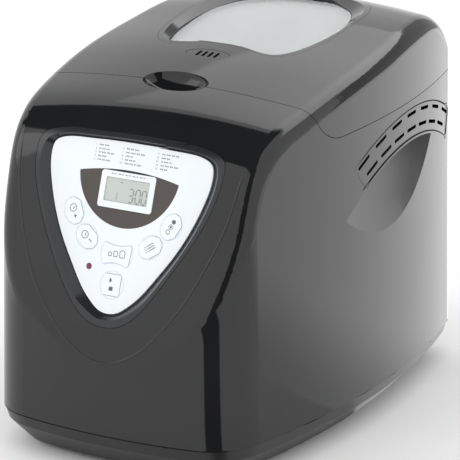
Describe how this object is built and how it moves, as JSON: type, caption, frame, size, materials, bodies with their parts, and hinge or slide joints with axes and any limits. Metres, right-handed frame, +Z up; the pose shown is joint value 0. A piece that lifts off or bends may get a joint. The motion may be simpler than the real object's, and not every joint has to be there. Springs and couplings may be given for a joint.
{
  "type": "bread machine",
  "caption": "Countertop bread machine: barrel-sided housing, hinged windowed lid, sloping key panel, baking chamber with lift-out pan, kneading paddle and belt drive.",
  "frame": {"origin": "on the floor under the centre of the whole object's outline, hinge knuckles included", "axes": "+X to the right seen from the front, -Y towards the front with the control panel, +Z up"},
  "size_m": [0.24, 0.3959, 0.2933],
  "materials": {
    "gloss_black": "gloss",
    "trim_black": "gloss",
    "bezel_black": "gloss",
    "tray_black": "satin",
    "foot_rubber": "matte",
    "liner_grey": "satin",
    "duct_white": "satin",
    "window_glass": "gloss",
    "fascia_white": "satin",
    "key_white": "satin",
    "display_dark": "gloss",
    "lcd": "satin",
    "lamp_red": "gloss",
    "board_green": "satin",
    "switch_black": "matte",
    "screw_steel": "satin",
    "pin_steel": "satin",
    "sheet_steel": "satin",
    "chamber_steel": "satin",
    "heater_tube": "satin",
    "ceramic": "matte",
    "clip_steel": "satin",
    "probe_steel": "satin",
    "bearing_bronze": "satin",
    "shaft_steel": "satin",
    "pulley_plastic": "matte",
    "belt_rubber": "matte",
    "lamination": "satin",
    "copper_wire": "satin",
    "capacitor_white": "gloss",
    "gland_black": "matte",
    "pan_coating": "satin",
    "ear_steel": "satin",
    "handle_steel": "gloss",
    "paddle_coating": "satin"
  },
  "bodies": {
    "housing": {"baking_chamber": "chamber_steel", "base_tray": "tray_black", "bearing_housing": "bearing_bronze", "board_screws": "screw_steel", "body_shell": "gloss_black", "case_screws": "screw_steel", "chamber_legs": "sheet_steel", "chassis_plate": "sheet_steel", "chassis_screws": "screw_steel", "control_board": "board_green", "cord_gland": "gland_black", "display_field": "display_dark", "drive_belt": "belt_rubber", "fascia_panel": "fascia_white", "heater_clips": "clip_steel", "heater_terminals": "ceramic", "heating_element": "heater_tube", "hinge_pins": "pin_steel", "key_switches": "switch_black", "lcd_frame": "fascia_white", "lcd_module": "lcd", "led_indicator": "lamp_red", "motor_bolts": "screw_steel", "motor_brackets": "sheet_steel", "motor_stator": "lamination", "motor_windings": "copper_wire", "oven_rim": "chamber_steel", "pan_socket": "chamber_steel", "panel_bezel": "bezel_black", "power_board": "board_green", "rubber_feet": "foot_rubber", "run_capacitor": "capacitor_white", "temperature_sensor": "probe_steel", "thermal_fuse": "probe_steel", "vent_insert_left": "gloss_black", "vent_insert_right": "gloss_black"},
    "lid": {"lid_shell": "gloss_black", "lid_liner": "liner_grey", "inner_window": "window_glass", "window_duct": "duct_white", "window_bezel": "trim_black", "lid_window": "window_glass", "lid_vent_grille": "trim_black"},
    "pan": {"bread_pan": "pan_coating", "pan_ears": "ear_steel", "pan_bush": "bearing_bronze"},
    "bail": {"pan_handle": "handle_steel"},
    "paddle": {"kneading_paddle": "paddle_coating", "pan_shaft": "shaft_steel"},
    "drive": {"drive_shaft": "shaft_steel", "large_pulley": "pulley_plastic"},
    "rotor": {"motor_rotor": "shaft_steel", "motor_fan": "pulley_plastic", "motor_pulley": "pulley_plastic"},
    "key_time_up": {"key_time_up": "key_white"},
    "key_time_down": {"key_time_down": "key_white"},
    "key_loaf_size": {"key_loaf_size": "key_white"},
    "key_menu": {"key_menu": "key_white"},
    "key_color": {"key_color": "key_white"},
    "key_start_stop": {"key_start_stop": "key_white"}
  },
  "joints": [
    {"name": "lid_hinge", "type": "hinge", "parent": "housing", "child": "lid", "pos_m": [0, 0.191, 0.234], "axis": [-1, 0, 0], "range_deg": [0, 80]},
    {"name": "pan_lift", "type": "slide", "parent": "housing", "child": "pan", "axis": [0, 0, 1], "range_m": [0, 0.02]},
    {"name": "bail_swing", "type": "hinge", "parent": "pan", "child": "bail", "pos_m": [0, 0.051, 0.197], "axis": [1, 0, 0], "range_deg": [0, 20]},
    {"name": "rotor_spin", "type": "hinge", "parent": "housing", "child": "rotor", "pos_m": [0, -0.099, 0.1], "axis": [0, 0, 1], "continuous": true},
    {"name": "drive_spin", "type": "hinge", "parent": "housing", "child": "drive", "pos_m": [0, 0.051, 0.06], "axis": [0, 0, 1], "continuous": true},
    {"name": "paddle_spin", "type": "hinge", "parent": "pan", "child": "paddle", "pos_m": [0, 0.051, 0.09], "axis": [0, 0, 1], "continuous": true},
    {"name": "time_up_press", "type": "slide", "parent": "housing", "child": "key_time_up", "axis": [0, 0.9483, -0.3173], "range_m": [0, 0.0008], "stiffness_N_per_m": 400},
    {"name": "time_down_press", "type": "slide", "parent": "housing", "child": "key_time_down", "axis": [0, 0.9483, -0.3173], "range_m": [0, 0.0008], "stiffness_N_per_m": 400},
    {"name": "loaf_size_press", "type": "slide", "parent": "housing", "child": "key_loaf_size", "axis": [0, 0.9483, -0.3173], "range_m": [0, 0.0008], "stiffness_N_per_m": 400},
    {"name": "menu_press", "type": "slide", "parent": "housing", "child": "key_menu", "axis": [0, 0.9483, -0.3173], "range_m": [0, 0.0008], "stiffness_N_per_m": 400},
    {"name": "color_press", "type": "slide", "parent": "housing", "child": "key_color", "axis": [0, 0.9483, -0.3173], "range_m": [0, 0.0008], "stiffness_N_per_m": 400},
    {"name": "start_stop_press", "type": "slide", "parent": "housing", "child": "key_start_stop", "axis": [0, 0.9483, -0.3173], "range_m": [0, 0.0008], "stiffness_N_per_m": 400}
  ],
  "couplings": [
    {"joint": "drive_spin", "follows": "rotor_spin", "ratio": 0.225},
    {"joint": "paddle_spin", "follows": "rotor_spin", "ratio": 0.225}
  ]
}
